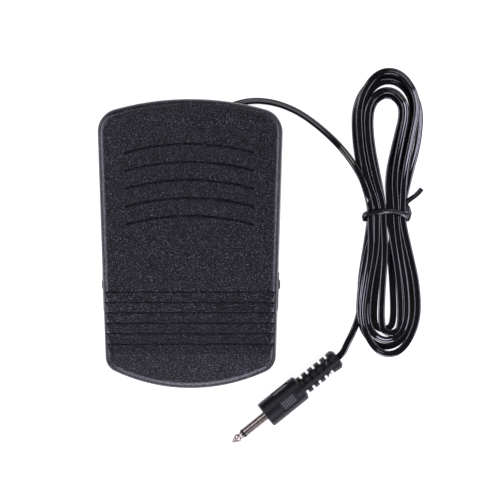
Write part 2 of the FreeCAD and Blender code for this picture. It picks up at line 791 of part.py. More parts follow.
def hank_edges():
    nodes = hank_nodes()
    edges = []
    for (p0, t0), (p1, t1) in zip(nodes, nodes[1:]):
        start = hank_place(p0)
        end = hank_place(p1)
        same_way = t0.dot(t1) > 0
        if same_way:
            if (p1 - p0).cross(t0).Length < 1e-6:
                edges.append(Part.LineSegment(start, end).toShape())
            else:
                edges += biarc(start, hank_turn(t0), end, hank_turn(t1))
        else:
            half = abs(p1.x - p0.x) / 2
            crown = V((p0.x + p1.x) / 2, p0.y + t0.y * half, (p0.z + p1.z) / 2)
            across = V(1 if p1.x > p0.x else -1, 0, 0)
            edges += biarc(start, hank_turn(t0), hank_place(crown), hank_turn(across))
            edges += biarc(hank_place(crown), hank_turn(across), end, hank_turn(t1))
    return edges


def print_self_gap(edges):
    """Least gap between stretches of the hank that aren't neighbours along it."""
    spacing = 1.0
    points = []
    for edge in edges:
        count = max(2, int(edge.Length / spacing))
        points += edge.discretize(Number=count)[:-1]
    along = [0.0]
    for a, b in zip(points, points[1:]):
        along.append(along[-1] + (b - a).Length)
    cells = {}
    size = 2 * CORD_D
    for i, p in enumerate(points):
        cells.setdefault((int(p.x // size), int(p.y // size), int(p.z // size)), []).append(i)
    least = 1e9
    for (cx, cy, cz), members in cells.items():
        around = []
        for dx in (-1, 0, 1):
            for dy in (-1, 0, 1):
                for dz in (-1, 0, 1):
                    around += cells.get((cx + dx, cy + dy, cz + dz), [])
        for i in members:
            for j in around:
                if along[j] - along[i] > 3 * CORD_D:
                    least = min(least, (points[i] - points[j]).Length)
    print("hank least gap to itself", round(least - CORD_D, 3))


def cord_tie():
    """Coated wire tie: a flat band round the waist, its twisted knot and one free end."""
    lower = CORD_R * math.cos(math.pi / CORD_SIDES)
    half = WAIST_PITCH * HANK_LOOPS / 2 + CORD_R + TIE_GAP
    top = TIE_T + TIE_GAP + lower + LAYER_RISE + CORD_R + TIE_GAP
    inner = box(-half, half, -TIE_W, TIE_W, TIE_T, top)
    outer = box(-half - TIE_T, half + TIE_T, -TIE_W / 2, TIE_W / 2, 0, top + TIE_T)
    inner = inner.makeFillet(TIE_BEND_R, [edge for edge in inner.Edges if edge.BoundBox.YLength > TIE_W])
    corners = [edge for edge in outer.Edges if edge.BoundBox.YLength > TIE_W - NEAR
               and edge.BoundBox.XLength < NEAR]
    outer = outer.makeFillet(TIE_BEND_R + TIE_T, corners)
    band = outer.cut(inner)

    knot_x = half + TIE_T / 2
    knot_z = top * KNOT_LEVEL
    rings = []
    for i in range(KNOT_RINGS):
        spin = math.radians(KNOT_SPIN_DEG * i)
        corners = []
        for k in range(4):
            angle = spin + math.radians(90 * k + 45)
            corners.append(V(knot_x + KNOT_L * i / (KNOT_RINGS - 1), KNOT_R * math.cos(angle),
                             knot_z + KNOT_R * math.sin(angle)))
        rings.append(Part.makePolygon(corners + corners[:1]))
    knot = Part.makeLoft(rings, True, True)

    start = V(knot_x + KNOT_L / 2, 0, knot_z)
    centre = start + V(0, TIE_TAIL_R, 0)

    def on_tail(degrees):
        turn = math.radians(degrees)
        return centre + V(TIE_TAIL_R * math.sin(turn), -TIE_TAIL_R * math.cos(turn), 0)

    path = Part.Wire([Part.Arc(start, on_tail(TIE_TAIL_DEG / 2), on_tail(TIE_TAIL_DEG)).toShape()])
    t = TIE_T / 2
    w = TIE_W / 2
    section = [start + V(0, y, z) for y, z in ((-t, -w), (t, -w), (t, w), (-t, w), (-t, -w))]
    tail = path.makePipeShell([Part.makePolygon(section)], True, False)
    tie = fuse([band, knot, tail])
    tie.rotate(V(0, 0, 0), UP, HANK_TILT_DEG)
    tie.translate(V(HANK_X, HANK_Y, 0))
    return tie


# Switch

def lever_pin_z():
    return SWITCH_Z + CASE_H + LEVER_PIN_UP


def along_y(radius, x, z, y0, y1):
    return rod(radius, V(x, y0, z), V(0, 1, 0), y1 - y0)


def switch_case_and_lid():
    low = SWITCH_Z
    high = SWITCH_Z + CASE_H
    back = SWITCH_Y - CASE_T / 2
    front = SWITCH_Y + CASE_T / 2
    seam = front - LID_T
    half = CASE_L / 2
    screw_holes = []
    for side in (-1, 1):
        screw_holes.append(along_y(SWITCH_HOLE_R, side * SCREW_PITCH / 2, low + SCREW_UP, back, front))
    case = box(-half, half, back, seam, low, high)
    lid = box(-half, half, seam, front, low, high)
    lid = lid.makeFillet(CASE_ROUND, [edge for edge in lid.Edges if edge.BoundBox.YMin > front - NEAR])
    case = case.makeFillet(CASE_ROUND, [edge for edge in case.Edges if edge.BoundBox.YLength > LID_T])
    ears = []
    for side in (-1, 1):
        near = SWITCH_Y + side * (LEVER_W / 2 + EAR_GAP)
        ears.append(box(LEVER_PIN_X - EAR_HALF, LEVER_PIN_X + EAR_HALF, min(near, near + side * EAR_T),
                        max(near, near + side * EAR_T), high - POST_SINK, lever_pin_z() + EAR_HALF))
    case = fuse([case] + [ear.common(box(-half, half, back, seam, low, BLOCK_TOP)) for ear in ears])
    well_x = BUTTON_L / 2 + SLIDE_GAP
    well_y = BUTTON_W / 2 + SLIDE_GAP
    cuts = [box(BUTTON_X - well_x, BUTTON_X + well_x, SWITCH_Y - well_y, SWITCH_Y + well_y,
                high - BUTTON_DEPTH - WELL_SPARE, BLOCK_TOP)]
    for x in TERMINAL_XS:
        cuts.append(box(x - TERMINAL_W / 2, x + TERMINAL_W / 2, SWITCH_Y - TERMINAL_T / 2,
                        SWITCH_Y + TERMINAL_T / 2, low, low + TERMINAL_ROOT))
    cuts.append(along_y(LEVER_PIN_R, LEVER_PIN_X, lever_pin_z(), back, front))
    return case.cut(screw_holes + cuts), lid.cut(screw_holes)


def lever_pin():
    back = SWITCH_Y - CASE_T / 2
    return along_y(LEVER_PIN_R, LEVER_PIN_X, lever_pin_z(), back, back + CASE_T - LID_T)


def switch_lever():
    """Stamped strip rolled into an eye round its pin."""
    z = lever_pin_z()
    near = SWITCH_Y - LEVER_W / 2
    far = SWITCH_Y + LEVER_W / 2
    eye = along_y(LEVER_EYE_R, LEVER_PIN_X, z, near, far)
    strip = box(LEVER_PIN_X, LEVER_PIN_X + LEVER_REACH, near, far, z + LEVER_EYE_R - LEVER_T, z + LEVER_EYE_R)
    corners = [edge for edge in strip.Edges if edge.BoundBox.ZLength > LEVER_T / 2
               and edge.BoundBox.XMin > LEVER_PIN_X + NEAR]
    strip = strip.makeFillet(LEVER_END_R, corners)
    bore = along_y(LEVER_PIN_R + LEVER_FIT, LEVER_PIN_X, z, near, far)
    lever = fuse([eye, strip]).cut(bore)
    lever.rotate(V(LEVER_PIN_X, SWITCH_Y, z), V(0, -1, 0), LEVER_REST_DEG)
    return lever


def switch_button():
    low = SWITCH_Z + CASE_H - BUTTON_DEPTH
    rise = math.radians(LEVER_REST_DEG)
    arm = BUTTON_X - BUTTON_L / 2 - LEVER_PIN_X
    strip_low = lever_pin_z() + (LEVER_EYE_R - LEVER_T) / math.cos(rise) + arm * math.tan(rise)
    high = strip_low - BUTTON_GAP
    button = box(BUTTON_X - BUTTON_L / 2, BUTTON_X + BUTTON_L / 2, SWITCH_Y - BUTTON_W / 2,
                 SWITCH_Y + BUTTON_W / 2, low, high)
    rim = [edge for edge in button.Edges if edge.BoundBox.ZMin > high - NEAR]
    return button.makeFillet(BUTTON_ROUND, rim)


def switch_terminals():
    foot = SWITCH_Z - TERMINAL_L
    blades = []
    for x in TERMINAL_XS:
        blade = box(x - TERMINAL_W / 2, x + TERMINAL_W / 2, SWITCH_Y - TERMINAL_T / 2,
                    SWITCH_Y + TERMINAL_T / 2, foot, SWITCH_Z + TERMINAL_ROOT)
        corners = [edge for edge in blade.Edges if edge.BoundBox.ZMax < foot + NEAR
                   and edge.BoundBox.YLength > NEAR]
        blades.append(blade.makeFillet(TERMINAL_ROUND, corners))
    return blades


def core_route(side):
    """From the end of the clamped cord round the spring to a terminal, square to both."""
    start = V(side * CORE_SPREAD, INNER_ROUTE[-1].y, INNER_ROUTE[-1].z)
    end = V(side * TERMINAL_XS[-1], SWITCH_Y + TERMINAL_T / 2, SWITCH_Z - TERMINAL_L / 2)
    straight = V(0, CORE_END_RUN, 0)
    between = [V(side * point.x, point.y, point.z) for point in CORE_ROUTE]
    return [start, start - straight] + between + [end + straight, end]


def solder_joints():
    joints = []
    for side in (-1, 1):
        points = core_route(side)
        end = points[-1]
        cone = Part.makeCone(SOLDER_R, SOLDER_END_R, SOLDER_L, end, V(0, 1, 0))
        joints.append(cone.cut(rod(CORE_R, end, V(0, 1, 0), SOLDER_L)))
    return joints


def return_spring():
    """Coil of round wire, cut flat at both ends."""
    low = FOOT_STAND + FLOOR
    high = SEAT_Z - SEAT_GAP
    rise = high - low
    pitch = rise / SPRING_TURNS
    path = Part.makeHelix(pitch, rise, SPRING_MEAN_R)
    start = V(SPRING_MEAN_R, 0, 0)
    lead = V(0, 2 * math.pi * SPRING_MEAN_R, pitch).normalize()
    ring = ring_of(start, lead, SPRING_WIRE_R, WIRE_SIDES)
    coil = Part.Wire(path.Edges).makePipeShell([ring], True, True)
    coil.translate(V(0, SPRING_Y, low))
    return coil.common(box(-CUT_FAR, CUT_FAR, -CUT_FAR, CUT_FAR, low + END_TRIM, high - END_TRIM))


# Plug

def plug_pitch_deg():
    """The plug lies on the rear of its body and on its thinner collar, so its tail points down a little."""
    apart = (plug_length() - COLLAR_BEVEL) - (relief_start() - BODY_REAR_BEVEL)
    return math.degrees(math.atan((BODY_R - COLLAR_R) / apart))


def plug_tip_at():
    pitch = math.radians(plug_pitch_deg())
    rise = BODY_R * math.cos(pitch) + (relief_start() - BODY_REAR_BEVEL) * math.sin(pitch)
    return V(PLUG_TIP_X, PLUG_TIP_Y, rise)


def plug_axis():
    """Direction from the tip to the tail."""
    turn = math.radians(PLUG_DEG)
    pitch = math.radians(plug_pitch_deg())
    return V(math.cos(turn) * math.cos(pitch), math.sin(turn) * math.cos(pitch), -math.sin(pitch))


def turned(profile):
    """Revolve a half section, given as s and r pairs, round the plug's axis and put it in its place."""
    points = [V(s, r, 0) for s, r in profile]
    face = Part.Face(Part.makePolygon(points + points[:1]))
    return face.revolve(V(0, 0, 0), V(1, 0, 0), 360)


def on_plug(shape):
    shape.rotate(V(0, 0, 0), V(0, 1, 0), plug_pitch_deg())
    shape.rotate(V(0, 0, 0), UP, PLUG_DEG)
    shape.translate(plug_tip_at())
    return shape


def body_start():
    return TIP_L + RING_L + SLEEVE_L


def relief_start():
    return body_start() + BODY_L


def plug_length():
    return relief_start() + RELIEF_RINGS * RELIEF_PITCH + COLLAR_L


def plug_tip():
    """Pointed contact with a neck behind its head, on the rod that runs back into the moulding."""
    inside = body_start() + SLEEVE_IN + ROD_SPARE
    profile = [(0, 0), (0.15, 0.45), (2.3, JACK_R - 0.15), (2.7, JACK_R - 0.05), (3.0, JACK_R - 0.15),
               (3.9, TIP_NECK_R), (4.2, TIP_NECK_R + 0.1), (4.5, TIP_END_R), (TIP_L, TIP_END_R),
               (TIP_L, ROD_R), (inside, ROD_R), (inside, 0)]
    return on_plug(turned(profile))


def plug_insulator():
    bore = ROD_R + LINER_GAP
    liner = JACK_R - TUBE_WALL - LINER_GAP
    far = body_start() + SLEEVE_IN + LINER_SPARE
    profile = [(TIP_L, bore), (TIP_L, JACK_R), (TIP_L + RING_L, JACK_R), (TIP_L + RING_L, liner),
               (far, liner), (far, bore)]
    return on_plug(turned(profile))


def plug_sleeve():
    """Turned tube with a thinner shank that the body is moulded round."""
    near = TIP_L + RING_L
    step = body_start()
    far = body_start() + SLEEVE_IN
    bore = JACK_R - TUBE_WALL
    profile = [(near, bore), (near, JACK_R), (step, JACK_R), (step, SHANK_R), (far, SHANK_R), (far, bore)]
    return on_plug(turned(profile))


def relief_slots():
    """Cutters of the strain relief's slots, those of one side set half a pitch on from the other side's."""
    cutters = []
    for i in range(RELIEF_RINGS):
        for side in (-1, 1):
            start = relief_start() + i * RELIEF_PITCH + RELIEF_FIRST + (RELIEF_STAGGER if side > 0 else 0)
            ring = rod(RELIEF_R + WELL_SPARE, V(start, 0, 0), V(1, 0, 0), RELIEF_SLOT)
            ring = ring.cut(rod(RELIEF_CORE_R, V(start, 0, 0), V(1, 0, 0), RELIEF_SLOT))
            near, far = sorted((side * RELIEF_WEB / 2, side * BODY_R))
            half = ring.common(box(start, start + RELIEF_SLOT, near, far, -BODY_R, BODY_R))
            half.rotate(V(0, 0, 0), V(1, 0, 0), PLUG_ROLL_DEG)
            cutters.append(half)
    return cutters


def grip(quarter):
    """Shallow finger recess and its ridged floor, turned to one of the body's four sides."""
    middle = (body_start() + relief_start()) / 2 + GRIP_BACK
    high = BODY_R - GRIP_DEPTH
    near = middle - GRIP_L / 2
    hollow = box(near, near + GRIP_L, -GRIP_W / 2, GRIP_W / 2, high, BODY_R + WELL_SPARE)
    upright = [edge for edge in hollow.Edges if edge.BoundBox.ZLength > GRIP_DEPTH]
    hollow = hollow.makeFillet(GRIP_CORNER_R, upright)
    ribs = []
    rib_half = GRIP_W / 2 - GRIP_RIB_END
    for k in range(GRIP_RIBS):
        at = middle + GRIP_RIB_PITCH * (k - (GRIP_RIBS - 1) / 2)
        left = at - GRIP_RIB_T / 2
        right = at + GRIP_RIB_T / 2
        low = high - POST_SINK
        outline = [V(left, -rib_half, low), V(left, -rib_half, high), V(at, -rib_half, high + GRIP_RIB_H),
                   V(right, -rib_half, high), V(right, -rib_half, low), V(left, -rib_half, low)]
        ribs.append(Part.Face(Part.makePolygon(outline)).extrude(V(0, 2 * rib_half, 0)))
    for shape in [hollow] + ribs:
        shape.rotate(V(0, 0, 0), V(1, 0, 0), 90 * quarter + PLUG_ROLL_DEG)
    return hollow, ribs


def plug_moulding():
    """Moulded body with finger grips, running into a slotted strain relief with an end collar."""
    s0 = body_start()
    s1 = relief_start()
    s2 = s1 + RELIEF_RINGS * RELIEF_PITCH
    s3 = plug_length()
    bore = SHANK_R + LINER_GAP
    pocket = s0 + SLEEVE_IN + ROD_SPARE + LINER_GAP
    profile = [(s0, bore), (s0, BODY_R - BODY_FRONT_BEVEL), (s0 + BODY_FRONT_BEVEL, BODY_R),
               (s1 - BODY_REAR_BEVEL, BODY_R), (s1, BODY_R - BODY_REAR_BEVEL), (s1, RELIEF_R), (s2, RELIEF_R),
               (s2, COLLAR_R), (s3 - COLLAR_BEVEL, COLLAR_R), (s3, COLLAR_R - COLLAR_BEVEL), (s3, 0),
               (pocket, 0), (pocket, bore)]
    moulding = turned(profile).cut(relief_slots())
    for quarter in range(4):
        hollow, ribs = grip(quarter)
        moulding = moulding.cut(hollow).fuse(ribs)
    return on_plug(moulding.removeSplitter())


def cord_pieces():
    inner = routed_tube("cord_inner", [EXIT] + INNER_ROUTE, CORD_R)
    edges = hank_edges()
    first = edges[0].valueAt(edges[0].FirstParameter)
    last = edges[-1].valueAt(edges[-1].LastParameter)
    along = hank_turn(V(0, -END_RUN, 0))
    lead_in = routed_tube("cord_lead_in", [EXIT] + LEAD_IN + [first - along, first], CORD_R)
    tail = plug_tip_at() + plug_axis() * plug_length()
    away = tail + plug_axis() * PLUG_END_RUN
    lead_out = routed_tube("cord_lead_out", [last, last + along] + LEAD_OUT + [away, tail], CORD_R)
    hank = tube("cord_hank", edges, CORD_R)
    print_self_gap(edges)
    return inner, lead_in, hank, lead_out


def main():
    os.makedirs("parts", exist_ok=True)
    floor_z = FOOT_STAND + FLOOR
    save("top_cover", [top_cover()])
    save("base_shell", [base_shell()])
    save("rubber_feet", rubber_feet())
    case, lid = switch_case_and_lid()
    save("switch_case", [case])
    save("switch_lid", [lid])
    save("switch_lever", [switch_lever()])
    save("lever_pin", [lever_pin()])
    save("switch_button", [switch_button()])
    save("switch_terminals", switch_terminals())
    screws = []
    for side in (-1, 1):
        seat = V(side * SCREW_PITCH / 2, SWITCH_Y + CASE_T / 2, SWITCH_Z + SCREW_UP)
        length = CASE_T + BRACKET_T - SCREW_END_GAP
        screws.append(pan_screw(SWITCH_SCREW_R, SWITCH_HEAD_R, SWITCH_HEAD_H, length, seat, V(0, 1, 0)))
    save("switch_screws", screws)
    clamp_top = EXIT.z + CORD_R + CLAMP_T
    save("clamp_bar", [clamp_bar()])
    screws = []
    for side in (-1, 1):
        seat = V(side * CLAMP_POST_X, CLAMP_Y, clamp_top)
        length = clamp_top - floor_z - SCREW_END_GAP
        screws.append(pan_screw(CLAMP_SCREW_R, CLAMP_HEAD_R, CLAMP_HEAD_H, length, seat, UP))
    save("clamp_screws", screws)
    save("return_spring", [return_spring()])
    inner, lead_in, hank, lead_out = cord_pieces()
    save("cord_inner", [inner])
    save("cord_lead_in", [lead_in])
    save("cord_hank", [hank])
    save("cord_lead_out", [lead_out])
    save("cord_tie", [cord_tie()])
    for side, name in ((-1, "core_left"), (1, "core_right")):
        save(name, [routed_tube(name, core_route(side), CORE_R, WIRE_SIDES)])
    save("solder_joints", solder_joints())
    save("plug_tip", [plug_tip()])
    save("plug_insulator", [plug_insulator()])
    save("plug_sleeve", [plug_sleeve()])
    save("plug_moulding", [plug_moulding()])


main()
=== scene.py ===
# %% [markdown]
# A foot pedal for a small sewing machine, lying on a white table beside its own cord. The pedal is a
# grained black cover hinged over a base, the cord is a flat twin cord tied in a hank, and it ends in a
# small jack plug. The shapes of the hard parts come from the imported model. Here they get their
# finishes, and the soft parts, the cord and its tie, are made in full.

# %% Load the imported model
import math
import bmesh
import bpy
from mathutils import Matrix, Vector


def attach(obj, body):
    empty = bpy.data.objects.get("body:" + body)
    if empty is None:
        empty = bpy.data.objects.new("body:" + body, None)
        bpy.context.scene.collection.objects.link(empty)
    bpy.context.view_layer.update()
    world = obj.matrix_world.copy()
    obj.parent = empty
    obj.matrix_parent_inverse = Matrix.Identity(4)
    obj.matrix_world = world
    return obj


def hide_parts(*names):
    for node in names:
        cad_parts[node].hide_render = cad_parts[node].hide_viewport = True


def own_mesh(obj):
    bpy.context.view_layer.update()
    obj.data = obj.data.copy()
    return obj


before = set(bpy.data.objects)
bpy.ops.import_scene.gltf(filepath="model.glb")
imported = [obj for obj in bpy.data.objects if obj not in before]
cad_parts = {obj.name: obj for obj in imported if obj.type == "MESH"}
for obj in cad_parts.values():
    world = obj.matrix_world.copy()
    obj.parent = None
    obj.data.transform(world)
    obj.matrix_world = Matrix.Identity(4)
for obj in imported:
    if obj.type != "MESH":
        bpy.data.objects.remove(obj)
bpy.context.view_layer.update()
print("pieces of the model:", len(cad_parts))

# %% [markdown]
# Sizes are easier to read in millimetres and Blender works in metres, so one value turns one into the
# other. Colours are written as the sRGB hex numbers of a paint program. The shader wants linear light,
# so one function converts them. A second small function adds a node with its settings and links, which
# keeps each material short. Two more start a material and tell which rays see the pale background.

# %% Units, colours and nodes
MM = 0.001


def linear(hex_colour):
    """The linear RGBA of an sRGB hex colour such as #2a2a34."""
    values = [int(hex_colour[i:i + 2], 16) / 255 for i in (1, 3, 5)]
    return tuple(v / 12.92 if v <= 0.04045 else ((v + 0.055) / 1.055) ** 2.4 for v in values) + (1.0,)


def add_node(tree, kind, settings=None, links=None):
    """Add a node, set its sockets or properties by name, and link other nodes' outputs into its inputs."""
    node = tree.nodes.new(kind)
    for name, value in (settings or {}).items():
        if hasattr(node, str(name)):
            setattr(node, name, value)
        else:
            node.inputs[name].default_value = value
    for name, output in (links or {}).items():
        tree.links.new(output, node.inputs[name])
    return node


def new_material(name):
    """An empty node material with its output, and the tree to fill."""
    material = bpy.data.materials.new(name)
    material.use_nodes = True
    material.node_tree.nodes.clear()
    return material, material.node_tree


def background_rays(tree, mirrored_share):
    """1 for a ray from the camera, and a share of 1 for a ray off a gloss or through a glass."""
    path = add_node(tree, "ShaderNodeLightPath")
    mirrored = add_node(tree, "ShaderNodeMath", {"operation": "MAXIMUM"},
                        {0: path.outputs["Is Glossy Ray"], 1: path.outputs["Is Transmission Ray"]})
    seen = add_node(tree, "ShaderNodeMath", {"operation": "MULTIPLY_ADD", 1: mirrored_share},
                    {0: mirrored.outputs[0], 2: path.outputs["Is Camera Ray"]})
    return seen.outputs[0]


# %% [markdown]
# The camera looks straight down, as the photograph does, from 0.7 m above the middle of the whole set.
# The lens is a long one, so the sides of the pedal hardly show. The lens length is worked out from the
# photograph's width, which takes in 192 mm of the table.

# %% Camera
CAMERA_HEIGHT = 0.7
PHOTO_PIXELS = 500
PIXELS_PER_MM = 2.6
VIEW_WIDTH = PHOTO_PIXELS / PIXELS_PER_MM * MM
VIEW_MIDDLE = (22.3 * MM, -2.25 * MM)
SENSOR_WIDTH = 36
camera_data = bpy.data.cameras.new("photo_camera")
camera_data.sensor_width = SENSOR_WIDTH
camera_data.lens = SENSOR_WIDTH * CAMERA_HEIGHT / VIEW_WIDTH
camera = bpy.data.objects.new("photo_camera", camera_data)
camera.location = (*VIEW_MIDDLE, CAMERA_HEIGHT)
bpy.context.scene.collection.objects.link(camera)
bpy.context.scene.camera = camera
bpy.context.scene.view_settings.view_transform = "Standard"
print("lens", round(camera_data.lens, 1), "mm")

# %% [markdown]
# The table is so bright in the photograph that it fades into the background. Its paint is a pale grey
# diffuse, and a ray from the camera also sees a glow on it, so it reads as pure white and takes only a
# trace of the object's soft shadow. A ray that comes off a gloss sees the same glow, so the rounded
# edges of the black parts and the metal mirror a white table. No lamp has to be turned up for that.

# %% Table
FLOOR_HALF = 0.9
TABLE_GLOW = 0.88
mesh = bpy.data.meshes.new("table")
corners = [(x * FLOOR_HALF, y * FLOOR_HALF, 0) for x, y in ((-1, -1), (1, -1), (1, 1), (-1, 1))]
mesh.from_pydata(corners, [], [(0, 1, 2, 3)])
table = bpy.data.objects.new("table", mesh)
bpy.context.scene.collection.objects.link(table)
white_table, tree = new_material("white_laminate_table")
glow = add_node(tree, "ShaderNodeMath", {"operation": "MULTIPLY", 1: TABLE_GLOW},
                {0: background_rays(tree, 1.0)})
paint = add_node(tree, "ShaderNodeBsdfDiffuse", {"Color": linear("#a6a6aa")})
shine = add_node(tree, "ShaderNodeEmission", {"Color": linear("#ffffff")}, {"Strength": glow.outputs[0]})
both = add_node(tree, "ShaderNodeAddShader")
tree.links.new(paint.outputs[0], both.inputs[0])
tree.links.new(shine.outputs[0], both.inputs[1])
add_node(tree, "ShaderNodeOutputMaterial", {}, {"Surface": both.outputs[0]})
table.data.materials.append(white_table)

# %% [markdown]
# The highlights of the photograph run along both long sides of the pedal and along its near end, and
# its top stays dark. So broad, dim softboxes stand at both sides and at the near end, about 40 degrees
# above the table. There the rounded edges mirror them to the camera and the flat top doesn't, and seen
# from a side the top takes an even sheen instead of a glare. Two weaker ones at the back light the toe
# end and the loops of the cord. The room itself is a dim grey. The camera sees its sky as white, and a
# gloss mirrors only a twentieth of that, because over the table a real room is dark between its lamps.

# %% Lights
# Name, place, width and height in metres, then power in watts and colour
LAMPS = [
    ("softbox_right", (0.58, 0.0, 0.48), 0.60, 0.19, 4.0, "#e9e6ff"),
    ("softbox_left", (-0.55, 0.05, 0.46), 0.56, 0.19, 4.0, "#e9e6ff"),
    ("softbox_near", (0.03, -0.62, 0.52), 0.60, 0.26, 6.4, "#eceaff"),
    ("softbox_far", (0.42, 0.64, 0.62), 0.70, 0.34, 1.5, "#f6f6ff"),
    ("small_box_back_left", (-0.24, 0.27, 0.68), 0.22, 0.14, 0.5, "#fbf4f4"),
]
LAMP_AIM = Vector((0.03, 0.0, 0.0))
for name, place, width, height, power, colour in LAMPS:
    lamp = bpy.data.lights.new(name, "AREA")
    lamp.shape = "RECTANGLE"
    lamp.size = width
    lamp.size_y = height
    lamp.energy = power
    lamp.color = linear(colour)[:3]
    holder = bpy.data.objects.new(name, lamp)
    holder.location = place
    holder.rotation_euler = (LAMP_AIM - Vector(place)).to_track_quat("-Z", "Y").to_euler()
    bpy.context.scene.collection.objects.link(holder)

ROOM_LIGHT = 0.14
SKY_WHITE = 1.0
SKY_MIRRORED = 0.05
world = bpy.data.worlds.new("studio")
bpy.context.scene.world = world
world.use_nodes = True
tree = world.node_tree
tree.nodes.clear()
room = add_node(tree, "ShaderNodeBackground", {"Color": linear("#a8a8b4"), "Strength": ROOM_LIGHT})
sky = add_node(tree, "ShaderNodeBackground", {"Color": linear("#ffffff"), "Strength": SKY_WHITE})
pick = add_node(tree, "ShaderNodeMixShader", {},
                {0: background_rays(tree, SKY_MIRRORED), 1: room.outputs[0], 2: sky.outputs[0]})
add_node(tree, "ShaderNodeOutputWorld", {}, {"Surface": pick.outputs[0]})

# %% [markdown]
# The cord is flat twin cord: two round conductors side by side in one soft black sheath, 2.6 mm wide
# and 1.3 mm thick. It leaves the toe end of the pedal, lies on the table in one easy curve, runs into
# the hank over its left side, and comes out again at the lower left to the plug. A soft cord has no
# corners, so its line is one NURBS spline and these points are its control points.

# %% Route of the cord
EXIT = Vector((9.4, 50.5, 4.6))
LEAD_IN = [
    (13.2, 52.2, 4.2), (18.4, 54.1, 3.1), (23.8, 55.1, 2.0), (29.6, 54.7, 1.4), (35.4, 53.2, 1.2),
    (42.0, 50.1, 1.2), (49.2, 44.8, 1.3), (55.9, 38.6, 1.6), (61.2, 31.8, 4.0), (64.9, 25.4, 5.3),
    (67.2, 19.4, 4.8),
]
LEAD_OUT = [(65.0, -22.6, 0.95), (63.9, -28.6, 0.95), (61.6, -34.4, 1.2), (59.4, -38.4, 2.4)]
PLUG_TIP = Vector((15.6, -75.4, 7.4327))
PLUG_TURN = math.radians(38.5)
PLUG_PITCH = math.radians(3.9005)
PLUG_LENGTH = 51.5
STRAIGHT_TAIL = 2.6
in_plan = math.cos(PLUG_PITCH)
plug_axis = Vector((math.cos(PLUG_TURN) * in_plan, math.sin(PLUG_TURN) * in_plan, -math.sin(PLUG_PITCH)))
plug_tail = PLUG_TIP + plug_axis * PLUG_LENGTH
print("plug's tail at", [round(v, 2) for v in plug_tail])

# %% [markdown]
# The hank is five loops, tied at the waist. Wound by hand, they aren't alike: each end of each loop has
# its own width and reach, written down here in millimetres from the photograph, from the hank's middle.
# A loop has 20 control points: two at each pass of the waist, two on each run and four round each end.
# The four round an end stand on a half oval a little larger than the bend, because the spline cuts
# inside them.

# %% Loops of the hank
HANK_X = 74.6
HANK_Y = 11.9
HANK_TILT = math.radians(-1.0)
WAIST_PITCH = 2.45
RANK_PASS = ((3.0, 1.3, 2.9), (14.0, 1.15, 3.4), (28.0, 1.4, 4.05))
CAP_LOW = 1.45
CAP_HIGH = 4.1
CAP_CORNERS = 4
# Ends in the order that the cord runs through them. Left leg 14 and 28 mm from the waist and at the end's own
# edge, right leg the same, then the reach of the end and the length of its oval part
ENDS = [
    ((-5.4, -7.9, -9.2), (8.8, 12.2, 12.6), 53.9, 20.0),
    ((-8.2, -10.9, -11.5), (6.4, 8.9, 11.8), 54.3, 19.0),
    ((-3.5, -6.2, -7.1), (5.2, 7.9, 8.6), 48.5, 11.0),
    ((-4.9, -7.9, -8.4), (2.5, 5.0, 7.4), 46.9, 11.0),
    ((-0.2, -1.2, -1.5), (3.3, 5.5, 6.2), 45.9, 4.1),
    ((-3.5, -6.5, -7.0), (0.3, 3.2, 6.0), 45.1, 9.0),
    ((-1.8, -3.6, -4.3), (1.6, 3.0, 3.6), 44.5, 4.1),
    ((-6.6, -9.5, -10.0), (4.5, 6.9, 10.2), 50.6, 14.0),
    ((-7.1, -9.4, -9.9), (7.0, 10.2, 10.9), 51.2, 15.0),
    ((-9.8, -12.5, -12.8), (8.5, 12.1, 12.5), 52.3, 17.0),
]


def hank_point(u, v, z):
    """A point of the hank, across and along its own axis, in the model's frame."""
    return (HANK_X + u * math.cos(HANK_TILT) - v * math.sin(HANK_TILT),
            HANK_Y + u * math.sin(HANK_TILT) + v * math.cos(HANK_TILT), z)


def hank_points():
    """Control points of all loops, from the pass of the waist at the left where the lead comes in."""
    points = []
    innermost = len(ENDS) // 2
    for i in range(len(ENDS) + 1):
        side = -1 if i % 2 == 0 else 1
        leg = 0 if side < 0 else 1
        rank = abs(i - innermost) // 2
        waist = side * WAIST_PITCH * (0.5 + rank)
        before_high = i <= innermost
        after_high = i < innermost
        if i > 0:
            edges = ENDS[i - 1][leg]
            for k in (2, 1):
                distance, low, high = RANK_PASS[k]
                points.append(hank_point(edges[k - 1], -side * distance, high if before_high else low))
        distance, low, high = RANK_PASS[0]
        level = (high if before_high else low) / 2 + (high if after_high else low) / 2
        points.append(hank_point(waist, -side * distance, level))
        points.append(hank_point(waist, side * distance, level))
        if i < len(ENDS):
            left, right, reach, oval = ENDS[i]
            edges = ENDS[i][leg]
            for k in (1, 2):
                distance, low, high = RANK_PASS[k]
                points.append(hank_point(edges[k - 1], side * distance, high if after_high else low))
            centre = (left[2] + right[2]) / 2
            half = (right[2] - left[2]) / 2
            level = CAP_HIGH if after_high else CAP_LOW
            # Half oval from this side to the other one, its corners just outside the bend
            outside = 1 / math.cos(math.pi / (2 * CAP_CORNERS))
            for corner in range(CAP_CORNERS):
                angle = math.pi * (corner + 0.5) / CAP_CORNERS
                u = centre + side * half * math.cos(angle) * outside
                v = side * (reach - oval + oval * math.sin(angle) * outside)
                points.append(hank_point(u, v, level))
    return points


# %% [markdown]
# Both the cord and its tie follow a spline. Its points are read back as Blender draws it, and a tube is
# built along them. Reading the spline keeps the tube on the very curve that the control points give.

# %% Spline of the cord
SPLINE_ORDER = 3
SPLINE_STEPS = 10


